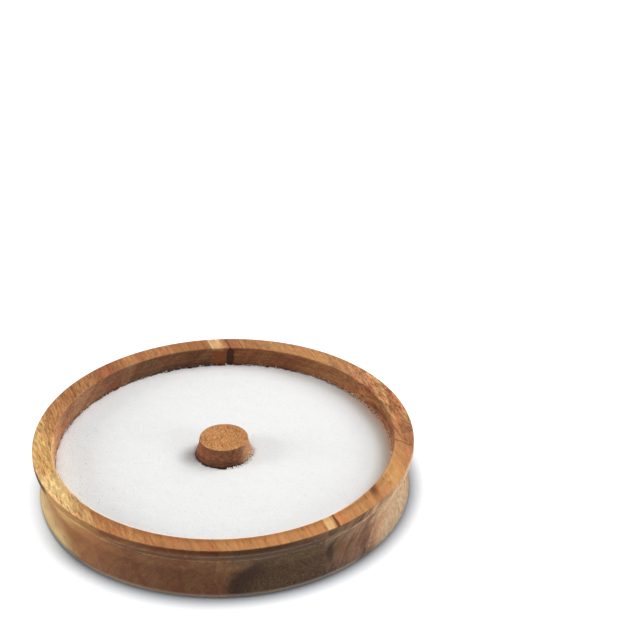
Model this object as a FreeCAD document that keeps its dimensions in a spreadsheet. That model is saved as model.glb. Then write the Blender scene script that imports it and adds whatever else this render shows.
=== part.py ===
"""Rimming dish for cocktail glasses: a shallow round dish turned from an edge-glued acacia panel.

The dish is one turned outline: a lip over a concave finger groove over a base flange outside, and
a routed well with a standing centre knob inside. The outline is then divided across the grain into
the staves of the panel and the thin glue films between them, and the well holds a bed of salt.

Lengths are millimetres and angles are degrees. +Z is up and the origin is the centre of the resting
face. The staves are divided along X and run along Y, and each finished piece is then turned by
grain_angle about Z.
"""
import FreeCAD, Part
import os

import Sketcher

# ------------------------------------------------------------------ driving dimensions

SIZES = {
    # outside, from the top down
    "dish_height": 22.6,
    "lip_radius": 75.0,
    "lip_underside_height": 19.5,
    "groove_waist_radius": 70.6,
    "groove_waist_height": 10.6,
    "flange_radius": 73.4,
    "flange_top_height": 2.0,
    # well
    "mouth_radius": 67.8,
    "well_foot_radius": 65.6,
    "floor_height": 7.0,
    # centre knob
    "knob_radius": 9.8,
    "knob_height": 21.7,
    "knob_foot_radius": 13.9,
    # broken edges and inside corners
    "lip_edge_break": 0.4,
    "lip_underside_break": 0.3,
    "mouth_edge_break": 0.4,
    "flange_edge_break": 0.5,
    "knob_edge_break": 0.4,
    "well_foot_cove": 3.0,
    "knob_foot_cove": 1.2,
    # salt
    "salt_height": 14.6,
    # panel: each joint is a distance across the grain from the centre of the dish
    "grain_angle": 20.8,
    "joint_left_edge": -62.0,
    "joint_left": -25.0,
    "joint_right": 16.2,
    "joint_right_edge": 64.6,
    "glue_thickness": 0.1,
    # half the size of the panel before it is turned round
    "panel_half_width": 78.0,
}

# the panel from left to right: the staves, and the joints between them
STAVES = ["stave_left_edge", "stave_left", "stave_centre", "stave_right", "stave_right_edge"]
JOINTS = ["joint_left_edge", "joint_left", "joint_right", "joint_right_edge"]

FULL_TURN = 360.0
MATCH = 1e-4

# a sketch's own numbers for its origin, its axes and the two ends of a run
ORIGIN = (-1, 1)
H_AXIS = -1
V_AXIS = -2
START = 1
END = 2


def make_sheet(doc):
    """The spreadsheet that drives every size: names in column A, plain numbers with aliases in column B."""
    sheet = doc.addObject("Spreadsheet::Sheet", "Sizes")
    for row, (name, value) in enumerate(SIZES.items(), start=1):
        sheet.set(f"A{row}", name)
        sheet.set(f"B{row}", str(value))
        sheet.setAlias(f"B{row}", name)
    return sheet


# ------------------------------------------------------------------ the turned blank

def fix_point(sketch, geometry, point, radius, height):
    """Dimension one point of a sketch from the axis and the resting face; a size of None puts it on them."""
    for kind, size, sketch_axis in (("DistanceX", radius, V_AXIS), ("DistanceY", height, H_AXIS)):
        if size is None:
            sketch.addConstraint(Sketcher.Constraint("PointOnObject", geometry, point, sketch_axis))
        else:
            distance = Sketcher.Constraint(kind, *ORIGIN, geometry, point, SIZES[size])
            index = sketch.addConstraint(distance)
            sketch.setExpression(f"Constraints[{index}]", f"Sizes.{size}")


def place(radius, height):
    """The sketch position of a point given by the names of its two sizes; None stands for zero."""
    return FreeCAD.Vector(SIZES.get(radius, 0.0), SIZES.get(height, 0.0), 0)


def draw_arc(sketch, start, end, crown_sizes):
    """An arc through a dimensioned crown point, drawn counter-clockwise; returns it with the numbers of
    the points that lie at start and end."""
    crown = place(*crown_sizes)
    if (crown - start).cross(end - crown).z > 0:
        through, ends = (start, crown, end), (START, END)
    else:
        through, ends = (end, crown, start), (END, START)
    arc = sketch.addGeometry(Part.Arc(*through))
    mark = sketch.addGeometry(Part.Point(crown), True)
    fix_point(sketch, mark, START, *crown_sizes)
    sketch.addConstraint(Sketcher.Constraint("PointOnObject", mark, START, arc))
    return arc, ends


def draw_outline(sketch, corners):
    """A closed outline. Each corner is (radius, height), and a third item, itself a (radius, height),
    makes the run that leads to that corner an arc through that point."""
    runs = []
    for index, corner in enumerate(corners):
        start = place(*corners[index - 1][:2])
        end = place(*corner[:2])
        if len(corner) == 3:
            run, ends = draw_arc(sketch, start, end, corner[2])
        else:
            run, ends = sketch.addGeometry(Part.LineSegment(start, end)), (START, END)
        fix_point(sketch, run, ends[1], *corner[:2])
        runs.append((run, ends))
    for (run, ends), (next_run, next_ends) in zip(runs, runs[1:] + runs[:1]):
        sketch.addConstraint(Sketcher.Constraint("Coincident", run, ends[1], next_run, next_ends[0]))


def circle_edge(shape, radius, height):
    """The name of a turned shape's circular edge that has this radius at this height."""
    for number, edge in enumerate(shape.Edges, start=1):
        curve = edge.Curve
        if not isinstance(curve, Part.Circle):
            continue
        if abs(curve.Radius - radius) < MATCH and abs(curve.Center.z - height) < MATCH:
            return f"Edge{number}"
    raise ValueError(f"no circular edge with radius {radius} at height {height}")


def turn_blank(doc):
    """The whole dish as one turned solid, before it is divided into staves."""
    blank = doc.addObject("PartDesign::Body", "dish_outline")
    sketch = blank.newObject("Sketcher::SketchObject", "dish_profile")
    plane = next(feature for feature in blank.Origin.OriginFeatures if feature.Role == "XZ_Plane")
    sketch.AttachmentSupport = [(plane, "")]
    sketch.MapMode = "FlatFace"
    draw_outline(
        sketch,
        [
            (None, None),
            ("flange_radius", None),
            ("flange_radius", "flange_top_height"),
            ("lip_radius", "lip_underside_height", ("groove_waist_radius", "groove_waist_height")),
            ("lip_radius", "dish_height"),
            ("mouth_radius", "dish_height"),
            ("well_foot_radius", "floor_height"),
            ("knob_foot_radius", "floor_height"),
            ("knob_radius", "knob_height"),
            (None, "knob_height"),
        ],
    )
    turned = blank.newObject("PartDesign::Revolution", "dish_turned")
    turned.Profile = sketch
    turned.ReferenceAxis = (sketch, ["V_Axis"])
    turned.Angle = FULL_TURN
    doc.recompute()

    last = turned
    for kind, size, name, radius, height in (
        ("Chamfer", "Size", "lip_edge_break", "lip_radius", "dish_height"),
        ("Chamfer", "Size", "lip_underside_break", "lip_radius", "lip_underside_height"),
        ("Chamfer", "Size", "mouth_edge_break", "mouth_radius", "dish_height"),
        ("Chamfer", "Size", "flange_edge_break", "flange_radius", None),
        ("Chamfer", "Size", "knob_edge_break", "knob_radius", "knob_height"),
        ("Fillet", "Radius", "well_foot_cove", "well_foot_radius", "floor_height"),
        ("Fillet", "Radius", "knob_foot_cove", "knob_foot_radius", "floor_height"),
    ):
        dressing = blank.newObject(f"PartDesign::{kind}", name)
        dressing.Base = (last, [circle_edge(last.Shape, SIZES[radius], SIZES.get(height, 0.0))])
        dressing.setExpression(size, f"Sizes.{name}")
        doc.recompute()
        last = dressing
    blank.Tip = last
    return blank


# ------------------------------------------------------------------ the pieces of the panel

def cut_from_panel(doc, blank, name, left, right):
    """The slice of the blank between two expressions across the grain, turned to the grain's angle."""
    slab = doc.addObject("Part::Box", f"{name}_slab")
    slab.setExpression("Length", f"({right}) - ({left})")
    slab.setExpression("Width", "2 * Sizes.panel_half_width")
    slab.setExpression("Height", "Sizes.dish_height")
    slab.setExpression("Placement.Base.x", left)
    slab.setExpression("Placement.Base.y", "-Sizes.panel_half_width")
    piece = doc.addObject("Part::Common", name)
    piece.Label = name
    piece.Base = blank
    piece.Tool = slab
    piece.Placement = FreeCAD.Placement(FreeCAD.Vector(), FreeCAD.Rotation(FreeCAD.Vector(0, 0, 1), 1.0))
    piece.setExpression("Placement.Rotation.Angle", "Sizes.grain_angle")
    return piece


def divide_panel(doc, blank):
    """The staves, each half a glue film short of its joints, and the glue films between them."""
    half_film = "Sizes.glue_thickness / 2"
    left_faces = ["-Sizes.panel_half_width"] + [f"Sizes.{joint} + {half_film}" for joint in JOINTS]
    right_faces = [f"Sizes.{joint} - {half_film}" for joint in JOINTS] + ["Sizes.panel_half_width"]
    staves = [
        cut_from_panel(doc, blank, name, left, right)
        for name, left, right in zip(STAVES, left_faces, right_faces)
    ]
    films = [
        cut_from_panel(
            doc,
            blank,
            joint.replace("joint", "glue_line"),
            f"Sizes.{joint} - {half_film}",
            f"Sizes.{joint} + {half_film}",
        )
        for joint in JOINTS
    ]
    return staves + films


def fill_with_salt(doc, blank):
    """The salt: everything in the well up to salt_height that isn't wood."""
    drum = doc.addObject("Part::Cylinder", "salt_drum")
    drum.setExpression("Radius", "Sizes.mouth_radius")
    drum.setExpression("Height", "Sizes.salt_height")
    salt = doc.addObject("Part::Cut", "salt_bed")
    salt.Label = "salt_bed"
    salt.Base = drum
    salt.Tool = blank
    return salt


# ------------------------------------------------------------------ build, check and write

def check(doc, pieces):
    """Stop before anything is written if an object failed or a piece isn't one sound solid."""
    for thing in doc.Objects:
        if "Invalid" in thing.State or "Error" in thing.State:
            raise RuntimeError(f"{thing.Label} failed: {thing.State}")
    for piece in pieces:
        shape = piece.Shape
        if shape.isNull() or not shape.isValid() or len(shape.Solids) != 1:
            raise RuntimeError(f"{piece.Label} isn't one valid solid")


def main():
    doc = FreeCAD.newDocument("rimming_dish")
    make_sheet(doc)
    doc.recompute()
    blank = turn_blank(doc)
    pieces = divide_panel(doc, blank)
    pieces.append(fill_with_salt(doc, blank))
    doc.recompute()
    check(doc, pieces)
    os.makedirs("parts", exist_ok=True)
    for piece in pieces:
        piece.Shape.exportStep(f"parts/{piece.Label}.step")
        box = piece.Shape.BoundBox
        print(f"{piece.Label:18} {piece.Shape.Volume / 1000:8.2f} cm3  z {box.ZMin:.2f} to {box.ZMax:.2f}")
    print(f"{'whole dish':18} {blank.Shape.Volume / 1000:8.2f} cm3")


main()
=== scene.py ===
"""Cocktail rimming dish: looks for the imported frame.

A shallow acacia dish, turned from five edge-glued staves with a knob left standing in the well, and a
bed of white salt with loose crystals on it. Lengths are millimetres, and are turned into metres when a
mesh is made; only the places of the camera and the lamps, the lamps' sizes and the paper's own masks
are in metres. +Z is up, +X is to the right, +Y is to the back, and the origin is the centre of the
resting face.
"""

import math

import bmesh
import bpy
import numpy as np
from mathutils import Matrix, Vector


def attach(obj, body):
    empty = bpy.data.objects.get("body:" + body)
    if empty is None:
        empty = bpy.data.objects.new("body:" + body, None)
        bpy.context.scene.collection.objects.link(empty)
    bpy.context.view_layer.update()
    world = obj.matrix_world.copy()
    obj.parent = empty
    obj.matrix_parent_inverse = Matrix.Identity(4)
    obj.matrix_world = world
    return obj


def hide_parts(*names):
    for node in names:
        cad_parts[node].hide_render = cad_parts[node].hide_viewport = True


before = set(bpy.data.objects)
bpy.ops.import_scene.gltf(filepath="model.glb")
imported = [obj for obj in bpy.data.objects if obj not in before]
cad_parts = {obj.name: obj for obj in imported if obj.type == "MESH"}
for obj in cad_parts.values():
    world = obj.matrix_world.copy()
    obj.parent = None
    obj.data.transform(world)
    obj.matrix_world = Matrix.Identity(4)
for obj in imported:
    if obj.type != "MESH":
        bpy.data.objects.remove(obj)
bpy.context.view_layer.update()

MM = 0.001
# turns a place in metres into millimetres
PER_METRE = (1000, 1000, 1000)

# ------------------------------------------------------------------ driving dimensions

DISH_HEIGHT = 22.6
LIP_RADIUS = 74.99
MOUTH_RADIUS = 67.5
WELL_FOOT_RADIUS = 65.6
FLANGE_RADIUS = 73.4
FLOOR_HEIGHT = 7.0
KNOB_HEIGHT = 21.7
SALT_HEIGHT = 14.6

# the turned outline as (radius, height, rounding), from the centre of the resting face round to the
# centre of the knob's top
BELOW_GROOVE = [(0.0, 0.0, 0.0), (FLANGE_RADIUS, 0.0, 0.7)]
FLANGE_TOP = (FLANGE_RADIUS, 2.0, 0.25)
GROOVE_WAIST = (70.6, 10.6, 0.0)
LIP_UNDERSIDE = (LIP_RADIUS, 19.5, 1.3)
KNOB_FLANK = [
    (13.9, FLOOR_HEIGHT, 1.2),
    (11.4, SALT_HEIGHT, 0.0),
    (10.0, 18.6, 12.0),
    (9.52, KNOB_HEIGHT, 0.3),
]
ABOVE_GROOVE = [
    (LIP_RADIUS, DISH_HEIGHT, 0.45),
    (MOUTH_RADIUS, DISH_HEIGHT, 0.2),
    (WELL_FOOT_RADIUS, FLOOR_HEIGHT, 3.0),
    *KNOB_FLANK,
    (0.0, KNOB_HEIGHT, 0.0),
]
WALL_SLOPE = (MOUTH_RADIUS - WELL_FOOT_RADIUS) / (DISH_HEIGHT - FLOOR_HEIGHT)

# how finely the outline is divided; SUPPORT is the distance from a rounding to the point that holds
# the flat beside it, and points nearer than REPEATED_POINT are one
GROOVE_STEPS = 18
ROUNDING_STEPS = 7
TURNING_STEPS = 640
SUPPORT = 0.12
REPEATED_POINT = 1e-4
SHARP_ANGLE = math.radians(40)

# the panel: the grain's turn about +Z, and each joint's distance across the grain
GRAIN_ANGLE = math.radians(20.8)
GLUE = 0.1
JOINTS = {
    "glue_line_left_edge": -62.0,
    "glue_line_left": -25.0,
    "glue_line_right": 16.2,
    "glue_line_right_edge": 64.6,
}
STAVE_SLOTS = {
    "stave_left_edge": "acacia_sapwood_stave",
    "stave_left": "acacia_left_stave",
    "stave_centre": "acacia_centre_stave",
    "stave_right": "acacia_right_stave",
    "stave_right_edge": "acacia_outer_right_stave",
}

rng = np.random.default_rng(20)


def wall_radius(height):
    """The well's straight wall: its radius grows evenly with height."""
    return WELL_FOOT_RADIUS + (height - FLOOR_HEIGHT) * WALL_SLOPE


def knob_radius(height):
    """The knob's flank: straight between the corners of its outline."""
    radii, heights, _ = zip(*KNOB_FLANK)
    return np.interp(height, heights, radii)


# ------------------------------------------------------------------ the turned dish

def link_mesh(name, verts_mm, faces, smooth=True):
    """A mesh object at the origin from vertices in millimetres."""
    mesh = bpy.data.meshes.new(name)
    mesh.from_pydata((np.asarray(verts_mm) * MM).tolist(), [], faces)
    mesh.polygons.foreach_set("use_smooth", np.full(len(mesh.polygons), smooth))
    mesh.update()
    piece = bpy.data.objects.new(name, mesh)
    bpy.context.scene.collection.objects.link(piece)
    return piece


def groove_arc():
    """Points on the circle through the flange's top edge, the groove's waist and the lip's underside.
    Its centre is where the lines halfway between them cross."""
    a, b, c = (np.array(point[:2]) for point in (FLANGE_TOP, GROOVE_WAIST, LIP_UNDERSIDE))
    rows = 2 * np.array([b - a, c - a])
    centre = np.linalg.solve(rows, [b @ b - a @ a, c @ c - a @ a])
    start, end = (math.atan2(*(point - centre)[::-1]) % (2 * math.pi) for point in (a, c))
    turn = np.linspace(start, end, GROOVE_STEPS + 1)
    return centre + np.hypot(*(a - centre)) * np.stack([np.cos(turn), np.sin(turn)], axis=1)


def round_corners(corners):
    """Replace each corner by an arc tangent to both sides: the arc starts at the corner less
    R * tan(half the turn) along one side, and each point is that start turned about the centre by an
    even share of the turn. One support point follows on each side, so the flats stay flat when shaded."""
    point, radius = corners[:, :2], corners[:, 2]
    ahead = np.roll(point, -1, axis=0) - point
    ahead /= np.linalg.norm(ahead, axis=1, keepdims=True)
    behind = np.roll(ahead, 1, axis=0)
    turn = np.arctan2(behind[:, 0] * ahead[:, 1] - behind[:, 1] * ahead[:, 0], (behind * ahead).sum(axis=1))
    reach = (radius * np.tan(np.abs(turn) / 2))[:, None]
    side = np.stack([-behind[:, 1], behind[:, 0]], axis=1) * np.sign(turn)[:, None]
    start = point - behind * reach
    centre = start + side * radius[:, None]
    share = turn[:, None] * np.linspace(0, 1, ROUNDING_STEPS + 1)
    spoke = (start - centre)[:, None, :]
    cos, sin = np.cos(share)[..., None], np.sin(share)[..., None]
    arc = centre[:, None, :] + spoke * cos + np.stack([-spoke[..., 1], spoke[..., 0]], axis=-1) * sin
    support = SUPPORT * (radius > 0)[:, None]
    first, last = start - behind * support, point + ahead * (reach + support)
    return np.concatenate([first[:, None, :], arc, last[:, None, :]], axis=1).reshape(-1, 2)


def dish_outline():
    """The rounded outline, from pole to pole, without repeated points."""
    groove = np.column_stack([groove_arc(), np.zeros(GROOVE_STEPS + 1)])
    groove[0, 2], groove[-1, 2] = FLANGE_TOP[2], LIP_UNDERSIDE[2]
    outline = round_corners(np.vstack([BELOW_GROOVE, groove, ABOVE_GROOVE]))
    step = np.linalg.norm(np.diff(outline, axis=0, prepend=outline[-1:]), axis=1)
    outline = outline[step > REPEATED_POINT]
    return outline[outline[:, 0] >= 0]


def rings(profile, steps):
    """A ring of points (r cos t, r sin t, z) for each (r, z) of the profile, one for each even turn t."""
    turn = np.arange(steps) * 2 * math.pi / steps
    radius, height = profile[:, :1], np.repeat(profile[:, 1:], steps, axis=1)
    return np.stack([radius * np.cos(turn), radius * np.sin(turn), height], axis=-1)


def turned(outline, steps):
    """The outline's rings, with one pole at each end of it, and the quads and end fans between them, all
    facing outwards."""
    ring_part = outline[outline[:, 0] > 1e-6]
    ring_points = rings(ring_part, steps).reshape(-1, 3)
    poles = [[0, 0, outline[0, 1]], [0, 0, outline[-1, 1]]]
    here = np.arange(steps)
    after = (here + 1) % steps
    base = (np.arange(len(ring_part) - 1) * steps)[:, None]
    quads = np.stack([base + here, base + after, base + steps + after, base + steps + here], axis=-1)
    top = (len(ring_part) - 1) * steps
    low_pole, high_pole = len(ring_points), len(ring_points) + 1
    low_fan = np.column_stack([after, here, np.full(steps, low_pole)])
    high_fan = np.column_stack([top + here, top + after, np.full(steps, high_pole)])
    faces = quads.reshape(-1, 4).tolist() + low_fan.tolist() + high_fan.tolist()
    return np.vstack([ring_points, poles]), faces


def slice_between(name, verts, faces, low, high):
    """The part of the turned dish between two planes across the grain, with flat closed cut faces."""
    piece = link_mesh(name, verts, faces)
    mesh = bmesh.new()
    mesh.from_mesh(piece.data)
    across = np.array([math.cos(GRAIN_ANGLE), math.sin(GRAIN_ANGLE), 0.0])
    for offset, facing in ((low, -1.0), (high, 1.0)):
        if offset is None:
            continue
        cut = bmesh.ops.bisect_plane(
            mesh,
            geom=mesh.verts[:] + mesh.edges[:] + mesh.faces[:],
            plane_co=across * offset * MM,
            plane_no=across * facing,
            clear_outer=True,
        )
        rim = [edge for edge in cut["geom_cut"] if isinstance(edge, bmesh.types.BMEdge)]
        filled = bmesh.ops.contextual_create(mesh, geom=rim)
        for face in filled["faces"]:
            face.smooth = False
            if face.normal.dot(across * facing) < 0:
                face.normal_flip()
    mesh.to_mesh(piece.data)
    mesh.free()
    piece.data.set_sharp_from_angle(angle=SHARP_ANGLE)
    return piece


# ------------------------------------------------------------------ the salt

SALT_STEPS = 720
SALT_RINGS = 122
SALT_OVERLAP = 0.06
# (radius, height) down the wall and its cove, along just above the floor and up the knob's foot
SALT_UNDERSIDE = [
    (wall_radius(10.0), 10.0),
    (64.9, 8.2),
    (62.8, FLOOR_HEIGHT + 0.05),
    (15.0, FLOOR_HEIGHT + 0.05),
    (knob_radius(8.4), 8.4),
]
# the grid's points are moved about by up to JITTER, but not within STEADY_RADIUS of the axis
JITTER = 0.08
STEADY_RADIUS = 16.0
LATTICE = 257
# (height, cell) of each layer of unevenness
RIPPLES = ((0.12, 16.0), (0.05, 5.0), (0.010, 0.75), (0.007, 0.42))
RAGGED_EDGE = ((0.22, 0.95), (0.18, 2.4))
# how far the salt has settled at the wall and at the knob, and how far from each that reaches
WALL_SETTLED, WALL_REACH = 0.24, 0.9
KNOB_SETTLED, KNOB_REACH = 0.38, 0.7
# a crystal's distance from the wood, and the share of its width by which a loose one sinks in
CRYSTAL_GAP = 0.1
CRYSTAL_SUNK = 0.44


def lattice_noise(x, y, cell, seed):
    """Value noise from -1 to 1: random heights at the corners of a square lattice of this cell, blended
    between them by f * f * (3 - 2 f) in each direction."""
    heights = np.random.default_rng(seed).uniform(-1, 1, (LATTICE, LATTICE))
    u, v = x / cell + LATTICE / 2, y / cell + LATTICE / 2
    i, j = np.floor(u).astype(int), np.floor(v).astype(int)
    f, g = u - i, v - j
    f, g = f * f * (3 - 2 * f), g * g * (3 - 2 * g)
    i, j, i1, j1 = (index % LATTICE for index in (i, j, i + 1, j + 1))
    near = heights[i, j] * (1 - f) + heights[i1, j] * f
    far = heights[i, j1] * (1 - f) + heights[i1, j1] * f
    return near * (1 - g) + far * g


def unevenness(x, y, layers, first_seed):
    """The sum of the layers' noises, each times its height."""
    return sum(
        height * lattice_noise(x, y, cell, first_seed + number)
        for number, (height, cell) in enumerate(layers)
    )


def salt_surface(x, y):
    """Height of the salt: the fill level, slow unevenness and grains, a thin gap where the salt has
    settled away from the wall and the knob, and a ragged edge against both. Closeness to each is
    e to the power of minus the distance over a reach."""
    radius = np.hypot(x, y)
    to_wall = np.maximum(wall_radius(SALT_HEIGHT) - radius, 0)
    to_knob = np.maximum(radius - knob_radius(SALT_HEIGHT), 0)
    by_wall, by_knob = np.exp(-to_wall / WALL_REACH), np.exp(-to_knob / KNOB_REACH)
    ragged = unevenness(x, y, RAGGED_EDGE, 5) * (1 + 0.8 * np.exp(-to_knob / 3))
    settled = WALL_SETTLED * by_wall + KNOB_SETTLED * by_knob
    return SALT_HEIGHT + unevenness(x, y, RIPPLES, 1) + (by_wall + by_knob) * ragged - settled


def salt_bed():
    """A ring of salt, closed round both ways: the rippled top from the knob to the wall, then down the
    wall, under it along the floor and up the knob."""
    turn = np.arange(SALT_STEPS) * 2 * math.pi / SALT_STEPS
    inner, outer = knob_radius(SALT_HEIGHT) - SALT_OVERLAP, wall_radius(SALT_HEIGHT) + SALT_OVERLAP
    radii = np.linspace(inner, outer, SALT_RINGS)[:, None]
    jitter = rng.uniform(-JITTER, JITTER, (2, SALT_RINGS, SALT_STEPS)) * (radii > STEADY_RADIUS)
    jitter[:, [0, -1]] = 0
    x, y = radii * np.cos(turn) + jitter[0], radii * np.sin(turn) + jitter[1]
    top = np.stack([x, y, salt_surface(x, y)], axis=-1)
    grid = np.concatenate([top, rings(np.array(SALT_UNDERSIDE), SALT_STEPS)])
    rows = len(grid)
    row, here = np.arange(rows)[:, None], np.arange(SALT_STEPS)
    next_row, after = (row + 1) % rows * SALT_STEPS, (here + 1) % SALT_STEPS
    row = row * SALT_STEPS
    faces = np.stack([row + here, next_row + here, next_row + after, row + after], axis=-1)
    return link_mesh("heaped_salt", grid.reshape(-1, 3), faces.reshape(-1, 4).tolist())


def crystals(name, centres, sizes):
    """One block for each centre: a cube's eight corners times its size, each width up to a quarter more
    or less than that, turned by a random unit quaternion."""
    count = len(centres)
    q = rng.normal(size=(count, 4))
    w, x, y, z = (q / np.linalg.norm(q, axis=1, keepdims=True)).T
    turn = np.array(
        [
            [1 - 2 * (y * y + z * z), 2 * (x * y - z * w), 2 * (x * z + y * w)],
            [2 * (x * y + z * w), 1 - 2 * (x * x + z * z), 2 * (y * z - x * w)],
            [2 * (x * z - y * w), 2 * (y * z + x * w), 1 - 2 * (x * x + y * y)],
        ]
    ).transpose(2, 0, 1)
    corner = np.array([[(k & 1) * 2 - 1, (k >> 1 & 1) * 2 - 1, (k >> 2 & 1) * 2 - 1] for k in range(8)]) / 2
    shape = corner[None] * (sizes[:, None, None] * rng.uniform(0.75, 1.25, (count, 1, 3)))
    verts = centres[:, None, :] + np.einsum("nij,nkj->nki", turn, shape)
    cube = np.array([[0, 2, 3, 1], [4, 5, 7, 6], [0, 1, 5, 4], [2, 6, 7, 3], [0, 4, 6, 2], [1, 3, 7, 5]])
    faces = (np.arange(count)[:, None, None] * 8 + cube).reshape(-1, 4)
    return link_mesh(name, verts.reshape(-1, 3), faces.tolist(), smooth=False)


def loose_crystals():
    """Crystals spread evenly over the salt (the radius is the root of an even draw between squares), and
    more and larger ones towards the wall on the left. Their sizes are 0.16 to 0.46 mm, most of them near
    the small end."""
    count, left_count = 4200, 700
    inner, outer = knob_radius(SALT_HEIGHT) + CRYSTAL_GAP, wall_radius(SALT_HEIGHT) - CRYSTAL_GAP
    radius = np.sqrt(rng.uniform(inner**2, outer**2, count))
    turn = rng.uniform(0, 2 * math.pi, count)
    sizes = 0.16 + 0.24 * rng.beta(1.4, 4.5, count)
    turn = np.append(turn, rng.normal(math.radians(188), 0.42, left_count))
    radius = np.append(radius, np.maximum(outer - 0.3 - rng.exponential(7.0, left_count), 30.0))
    sizes = np.append(sizes, 0.16 + 0.3 * rng.beta(1.4, 3.5, left_count))
    x, y = radius * np.cos(turn), radius * np.sin(turn)
    height = salt_surface(x, y) - CRYSTAL_SUNK * sizes
    return crystals("salt_crystals", np.column_stack([x, y, height]), sizes)


def stuck_crystals():
    """Crystals clinging just above the salt, fewer the higher they are: to the wall, a third of them on
    its right; to the right side of the knob; and larger ones heaped at the knob's foot, front right.
    Each height above the salt is drawn from a falling exponential."""
    wall_count, knob_count, foot_count = 900, 90, 80
    right_count = wall_count // 3
    right_turn = rng.normal(math.radians(15), 0.4, right_count)
    wall_turn = rng.uniform(0, 2 * math.pi, wall_count - right_count)
    wall_height = SALT_HEIGHT + rng.exponential(0.2, wall_count)
    knob_turn = rng.normal(math.radians(5), 0.45, knob_count)
    knob_height = SALT_HEIGHT + rng.exponential(0.9, knob_count)
    sizes = 0.12 + 0.2 * rng.beta(1.4, 3.0, wall_count + knob_count)
    foot_turn = rng.normal(math.radians(-42), 0.26, foot_count)
    foot_height = SALT_HEIGHT - 0.2 + rng.exponential(0.16, foot_count)
    foot_radius = knob_radius(foot_height) + CRYSTAL_GAP + rng.uniform(0, 0.7, foot_count)
    sizes = np.append(sizes, 0.3 + 0.35 * rng.beta(1.4, 3.0, foot_count))
    turn = np.concatenate([right_turn, wall_turn, knob_turn, foot_turn])
    height = np.concatenate([wall_height, knob_height, foot_height])
    wall_ring, knob_ring = wall_radius(wall_height) - CRYSTAL_GAP, knob_radius(knob_height) + CRYSTAL_GAP
    radius = np.concatenate([wall_ring, knob_ring, foot_radius])
    centres = np.column_stack([radius * np.cos(turn), radius * np.sin(turn), height])
    return crystals("clinging_crystals", centres, sizes)


# ------------------------------------------------------------------ node helpers

ZERO = (0.0, 0.0, 0.0)


def srgb(red, green, blue):
    """A colour given from 0 to 255 as it looks, as the plain amounts of light that a shader takes."""
    share = np.array([red, green, blue]) / 255
    plain = np.where(share <= 0.04045, share / 12.92, ((share + 0.055) / 1.055) ** 2.4)
    return (*plain.tolist(), 1.0)


class Nodes:
    """Short forms for the nodes of one material or group. A value is a number, a tuple or a socket."""

    def __init__(self, tree):
        self.tree = tree

    def add(self, kind, inputs=(), **settings):
        node = self.tree.nodes.new(kind)
        for name, value in settings.items():
            setattr(node, name, value)
        for key, value in dict(inputs).items():
            self.feed(node.inputs[key], value)
        return node

    def feed(self, socket, value):
        if isinstance(value, bpy.types.NodeSocket):
            self.tree.links.new(value, socket)
        else:
            socket.default_value = value

    def math(self, operation, *values):
        return self.add("ShaderNodeMath", enumerate(values), operation=operation).outputs[0]

    def plus(self, first, second):
        return self.math("ADD", first, second)

    def less(self, first, second):
        return self.math("SUBTRACT", first, second)

    def scaled(self, value, factor, shift):
        """value * factor + shift"""
        return self.math("MULTIPLY_ADD", value, factor, shift)

    def rise(self, value, low, high, to_low=0.0, to_high=1.0):
        """A smooth step from to_low at low to to_high at high."""
        inputs = {"Value": value, "From Min": low, "From Max": high, "To Min": to_low, "To Max": to_high}
        return self.add("ShaderNodeMapRange", inputs, interpolation_type="SMOOTHSTEP").outputs[0]

    def times(self, *parts):
        """The product of the parts. A part (value, low, high) stands for that smooth step."""
        values = [self.rise(*part) if isinstance(part, tuple) else part for part in parts]
        product = values[0]
        for value in values[1:]:
            product = self.math("MULTIPLY", product, value)
        return product

    def vector(self, operation, *values):
        return self.add("ShaderNodeVectorMath", enumerate(values), operation=operation).outputs["Vector"]

    def stretch(self, vector, scale, shift=ZERO):
        return self.vector("MULTIPLY_ADD", vector, scale, shift)

    def join(self, x, y, z):
        return self.add("ShaderNodeCombineXYZ", {0: x, 1: y, 2: z}).outputs[0]

    def xyz(self, vector):
        return self.add("ShaderNodeSeparateXYZ", {0: vector}).outputs

    def length(self, x, y):
        flat = {0: self.join(x, y, 0.0)}
        return self.add("ShaderNodeVectorMath", flat, operation="LENGTH").outputs["Value"]

    def noise(self, vector, detail=2.0, roughness=0.5, distortion=0.0):
        look = {"Scale": 1.0, "Detail": detail, "Roughness": roughness, "Distortion": distortion}
        return self.add("ShaderNodeTexNoise", {"Vector": vector} | look).outputs[0]

    def figure(self, place, scale, *look, shift=ZERO):
        """Noise on a place stretched by scale."""
        return self.noise(self.stretch(place, scale, shift), *look)

    def mix(self, factor, first, second, blend="MIX"):
        node = self.add("ShaderNodeMix", {0: factor, 6: first, 7: second}, data_type="RGBA", blend_type=blend)
        return node.outputs[2]

    def tint(self, factor, colour, by):
        """The colour, multiplied by another as far as the factor says."""
        return self.mix(factor, colour, self.mix(1.0, colour, by, "MULTIPLY"))


def new_group(name, inputs):
    """A new shader node group: its nodes, and the inputs that it is given, one for each {name: default}."""
    tree = bpy.data.node_groups.new(name, "ShaderNodeTree")
    for socket, value in inputs.items():
        kind = "NodeSocketVector" if isinstance(value, tuple) else "NodeSocketFloat"
        tree.interface.new_socket(name=socket, in_out="INPUT", socket_type=kind).default_value = value
    return Nodes(tree), tree.nodes.new("NodeGroupInput").outputs


def put_out(nodes, results):
    """The finished group, with an output for each {name: result}."""
    kinds = {"VALUE": "NodeSocketFloat", "VECTOR": "NodeSocketVector", "RGBA": "NodeSocketColor"}
    for name, result in results.items():
        nodes.tree.interface.new_socket(name=name, in_out="OUTPUT", socket_type=kinds[result.type])
    out = nodes.tree.nodes.new("NodeGroupOutput").inputs
    for name, result in results.items():
        nodes.feed(out[name], result)
    return nodes.tree


def use_group(nodes, group, inputs=()):
    """The outputs of one use of a group, fed with these inputs."""
    node = nodes.add("ShaderNodeGroup", node_tree=group)
    for key, value in dict(inputs).items():
        nodes.feed(node.inputs[key], value)
    return node.outputs


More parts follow.
